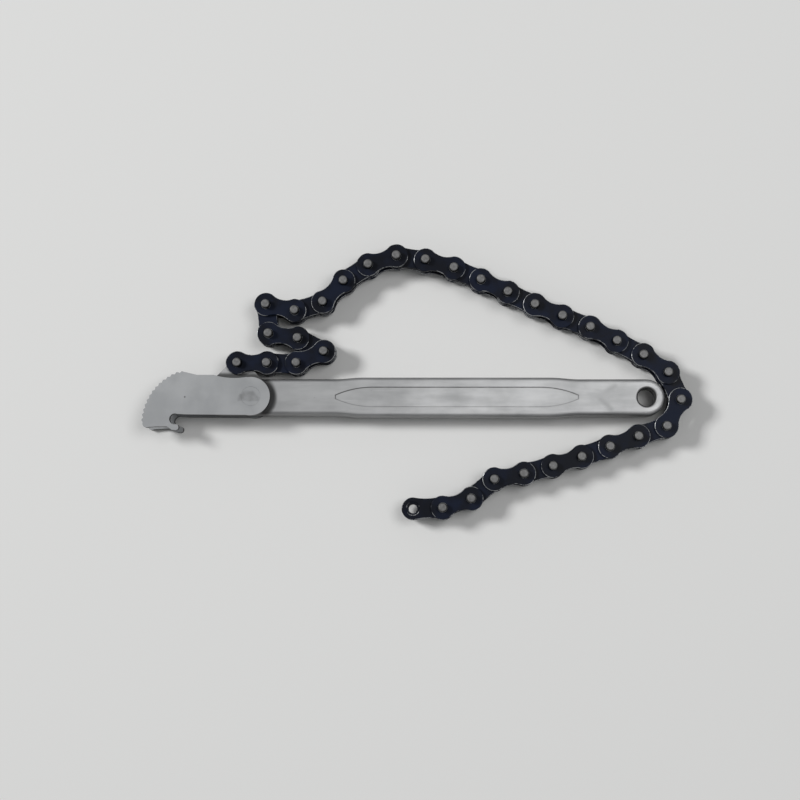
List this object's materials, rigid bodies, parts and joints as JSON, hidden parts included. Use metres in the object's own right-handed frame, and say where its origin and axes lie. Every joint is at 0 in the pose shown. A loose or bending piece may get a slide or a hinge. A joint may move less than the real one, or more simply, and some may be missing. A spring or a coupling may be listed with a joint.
{
  "type": "chain pipe wrench",
  "caption": "Chain pipe wrench: a forged handle with a hang hole, a swinging toothed double jaw with a pin hook, and a bush chain that wraps a pipe and hooks its pins into the jaw.",
  "frame": {"origin": "centre of the hang hole, in the handle's middle plane", "axes": "+X from the jaw to the hang hole along the handle, +Y to the side of the chain lug, +Z along the hang hole and all hinge pins, up as the wrench lies on the floor"},
  "size_m": [0.3152, 0.1593, 0.0192],
  "materials": {
    "handle_steel": "satin chrome over forged steel",
    "jaw_steel": "satin chrome",
    "chain_steel": "blue-black, worn bright at the edges",
    "pin_steel": "bare ends, dark rim"
  },
  "bodies": {
    "handle": {"handle": "handle_steel"},
    "jaw": {"jaw_plate_upper": "jaw_steel", "jaw_plate_lower": "jaw_steel", "jaw_pivot_pin": "pin_steel", "jaw_spacer": "pin_steel"},
    "link_01": {"outer_plates_01": "chain_steel", "link_pins_01": "pin_steel"},
    "link_02": {"inner_link_01": "chain_steel"},
    "link_03": {"outer_plates_02": "chain_steel", "link_pins_02": "pin_steel"},
    "link_04": {"inner_link_02": "chain_steel"},
    "link_05": {"outer_plates_03": "chain_steel", "link_pins_03": "pin_steel"},
    "link_06": {"inner_link_03": "chain_steel"},
    "link_07": {"outer_plates_04": "chain_steel", "link_pins_04": "pin_steel"},
    "link_08": {"inner_link_04": "chain_steel"},
    "link_09": {"outer_plates_05": "chain_steel", "link_pins_05": "pin_steel"},
    "link_10": {"inner_link_05": "chain_steel"},
    "link_11": {"outer_plates_06": "chain_steel", "link_pins_06": "pin_steel"},
    "link_12": {"inner_link_06": "chain_steel"},
    "link_13": {"outer_plates_07": "chain_steel", "link_pins_07": "pin_steel"},
    "link_14": {"inner_link_07": "chain_steel"},
    "link_15": {"outer_plates_08": "chain_steel", "link_pins_08": "pin_steel"},
    "link_16": {"inner_link_08": "chain_steel"},
    "link_17": {"outer_plates_09": "chain_steel", "link_pins_09": "pin_steel"},
    "link_18": {"inner_link_09": "chain_steel"},
    "link_19": {"outer_plates_10": "chain_steel", "link_pins_10": "pin_steel"},
    "link_20": {"inner_link_10": "chain_steel"},
    "link_21": {"outer_plates_11": "chain_steel", "link_pins_11": "pin_steel"},
    "link_22": {"inner_link_11": "chain_steel"},
    "link_23": {"outer_plates_12": "chain_steel", "link_pins_12": "pin_steel"},
    "link_24": {"inner_link_12": "chain_steel"},
    "link_25": {"outer_plates_13": "chain_steel", "link_pins_13": "pin_steel"},
    "link_26": {"inner_link_13": "chain_steel"},
    "link_27": {"outer_plates_14": "chain_steel", "link_pins_14": "pin_steel"},
    "link_28": {"inner_link_14": "chain_steel"},
    "link_29": {"outer_plates_15": "chain_steel", "link_pins_15": "pin_steel"},
    "link_30": {"inner_link_15": "chain_steel"},
    "link_31": {"outer_plates_16": "chain_steel", "link_pins_16": "pin_steel"},
    "link_32": {"inner_link_16": "chain_steel"}
  },
  "joints": [
    {"name": "jaw_swing", "type": "hinge", "parent": "handle", "child": "jaw", "pos_m": [-0.2263, 0, 0], "axis": [0, 0, 1], "range_deg": [-20, 120]},
    {"name": "lug_hinge", "type": "hinge", "parent": "handle", "child": "link_01", "pos_m": [-0.2348, 0.0198, 0], "axis": [0, 0, 1], "range_deg": [0, 26]},
    {"name": "chain_hinge_01", "type": "hinge", "parent": "link_01", "child": "link_02", "pos_m": [-0.2177, 0.0198, 0], "axis": [0, 0, 1], "range_deg": [-61, 1]},
    {"name": "chain_hinge_02", "type": "hinge", "parent": "link_02", "child": "link_03", "pos_m": [-0.2006, 0.0198, 0], "axis": [0, 0, 1], "range_deg": [-1, 27]},
    {"name": "chain_hinge_03", "type": "hinge", "parent": "link_03", "child": "link_04", "pos_m": [-0.18486, 0.02648, 0], "axis": [0, 0, 1], "range_deg": [-32, 1]},
    {"name": "chain_hinge_04", "type": "hinge", "parent": "link_04", "child": "link_05", "pos_m": [-0.2001, 0.03424, 0], "axis": [0, 0, 1], "range_deg": [-1, 40]},
    {"name": "chain_hinge_05", "type": "hinge", "parent": "link_05", "child": "link_06", "pos_m": [-0.21699, 0.03692, 0], "axis": [0, 0, 1], "range_deg": [-30, 1]},
    {"name": "chain_hinge_06", "type": "hinge", "parent": "link_06", "child": "link_07", "pos_m": [-0.21877, 0.05393, 0], "axis": [0, 0, 1], "range_deg": [0, 36]},
    {"name": "chain_hinge_07", "type": "hinge", "parent": "link_07", "child": "link_08", "pos_m": [-0.20205, 0.05037, 0], "axis": [0, 0, 1], "range_deg": [-36, 1]},
    {"name": "chain_hinge_08", "type": "hinge", "parent": "link_08", "child": "link_09", "pos_m": [-0.18569, 0.05537, 0], "axis": [0, 0, 1], "range_deg": [-1, 29]},
    {"name": "chain_hinge_09", "type": "hinge", "parent": "link_09", "child": "link_10", "pos_m": [-0.17381, 0.06767, 0], "axis": [0, 0, 1], "range_deg": [-28, 1]},
    {"name": "chain_hinge_10", "type": "hinge", "parent": "link_10", "child": "link_11", "pos_m": [-0.15957, 0.07714, 0], "axis": [0, 0, 1], "range_deg": [-1, 41]},
    {"name": "chain_hinge_11", "type": "hinge", "parent": "link_11", "child": "link_12", "pos_m": [-0.14328, 0.08233, 0], "axis": [0, 0, 1], "range_deg": [-28, 1]},
    {"name": "chain_hinge_12", "type": "hinge", "parent": "link_12", "child": "link_13", "pos_m": [-0.12636, 0.07989, 0], "axis": [0, 0, 1], "range_deg": [0, 42]},
    {"name": "chain_hinge_13", "type": "hinge", "parent": "link_13", "child": "link_14", "pos_m": [-0.10994, 0.07513, 0], "axis": [0, 0, 1], "range_deg": [-29, 1]},
    {"name": "chain_hinge_14", "type": "hinge", "parent": "link_14", "child": "link_15", "pos_m": [-0.09433, 0.06813, 0], "axis": [0, 0, 1], "range_deg": [0, 10]},
    {"name": "chain_hinge_15", "type": "hinge", "parent": "link_15", "child": "link_16", "pos_m": [-0.07885, 0.06086, 0], "axis": [0, 0, 1], "range_deg": [-16, 1]},
    {"name": "chain_hinge_16", "type": "hinge", "parent": "link_16", "child": "link_17", "pos_m": [-0.06337, 0.0536, 0], "axis": [0, 0, 1], "range_deg": [-1, 13]},
    {"name": "chain_hinge_17", "type": "hinge", "parent": "link_17", "child": "link_18", "pos_m": [-0.04765, 0.04687, 0], "axis": [0, 0, 1], "range_deg": [-18, 1]},
    {"name": "chain_hinge_18", "type": "hinge", "parent": "link_18", "child": "link_19", "pos_m": [-0.03181, 0.04042, 0], "axis": [0, 0, 1], "range_deg": [-1, 11]},
    {"name": "chain_hinge_19", "type": "hinge", "parent": "link_19", "child": "link_20", "pos_m": [-0.01673, 0.03236, 0], "axis": [0, 0, 1], "range_deg": [0, 60]},
    {"name": "chain_hinge_20", "type": "hinge", "parent": "link_20", "child": "link_21", "pos_m": [-0.00164, 0.02433, 0], "axis": [0, 0, -1], "range_deg": [-60, 0]},
    {"name": "chain_hinge_21", "type": "hinge", "parent": "link_21", "child": "link_22", "pos_m": [0.0122, 0.01428, 0], "axis": [0, 0, 1], "range_deg": [0, 60]},
    {"name": "chain_hinge_22", "type": "hinge", "parent": "link_22", "child": "link_23", "pos_m": [0.01915, -0.00134, 0], "axis": [0, 0, -1], "range_deg": [-60, 0]},
    {"name": "chain_hinge_23", "type": "hinge", "parent": "link_23", "child": "link_24", "pos_m": [0.01113, -0.01644, 0], "axis": [0, 0, 1], "range_deg": [-9, 60]},
    {"name": "chain_hinge_24", "type": "hinge", "parent": "link_24", "child": "link_25", "pos_m": [-0.00494, -0.02229, 0], "axis": [0, 0, -1], "range_deg": [-60, 15]},
    {"name": "chain_hinge_25", "type": "hinge", "parent": "link_25", "child": "link_26", "pos_m": [-0.02101, -0.02813, 0], "axis": [0, 0, 1], "range_deg": [-18, 60]},
    {"name": "chain_hinge_26", "type": "hinge", "parent": "link_26", "child": "link_27", "pos_m": [-0.03708, -0.03398, 0], "axis": [0, 0, -1], "range_deg": [-60, 21]},
    {"name": "chain_hinge_27", "type": "hinge", "parent": "link_27", "child": "link_28", "pos_m": [-0.05334, -0.03927, 0], "axis": [0, 0, 1], "range_deg": [-27, 60]},
    {"name": "chain_hinge_28", "type": "hinge", "parent": "link_28", "child": "link_29", "pos_m": [-0.06986, -0.04369, 0], "axis": [0, 0, -1], "range_deg": [-60, 36]},
    {"name": "chain_hinge_29", "type": "hinge", "parent": "link_29", "child": "link_30", "pos_m": [-0.08665, -0.04696, 0], "axis": [0, 0, 1], "range_deg": [-45, 60]},
    {"name": "chain_hinge_30", "type": "hinge", "parent": "link_30", "child": "link_31", "pos_m": [-0.09975, -0.05795, 0], "axis": [0, 0, -1], "range_deg": [-90, 90]},
    {"name": "chain_hinge_31", "type": "hinge", "parent": "link_31", "child": "link_32", "pos_m": [-0.11601, -0.06323, 0], "axis": [0, 0, 1], "range_deg": [-90, 90]}
  ],
  "couplings": [
    {"joint": "chain_hinge_01", "follows": "lug_hinge", "ratio": -2.3077},
    {"joint": "chain_hinge_02", "follows": "lug_hinge", "ratio": 1},
    {"joint": "chain_hinge_03", "follows": "lug_hinge", "ratio": -1.1923},
    {"joint": "chain_hinge_04", "follows": "lug_hinge", "ratio": 1.5},
    {"joint": "chain_hinge_05", "follows": "chain_hinge_06", "ratio": -0.80556},
    {"joint": "chain_hinge_07", "follows": "chain_hinge_06", "ratio": -0.97222},
    {"joint": "chain_hinge_08", "follows": "chain_hinge_06", "ratio": 0.77778},
    {"joint": "chain_hinge_09", "follows": "chain_hinge_12", "ratio": -0.64286},
    {"joint": "chain_hinge_10", "follows": "chain_hinge_12", "ratio": 0.95238},
    {"joint": "chain_hinge_11", "follows": "chain_hinge_12", "ratio": -0.64286},
    {"joint": "chain_hinge_13", "follows": "chain_hinge_12", "ratio": -0.66667},
    {"joint": "chain_hinge_15", "follows": "chain_hinge_14", "ratio": -1.5},
    {"joint": "chain_hinge_16", "follows": "chain_hinge_14", "ratio": 1.2},
    {"joint": "chain_hinge_17", "follows": "chain_hinge_14", "ratio": -1.7},
    {"joint": "chain_hinge_18", "follows": "chain_hinge_14", "ratio": 1}
  ]
}
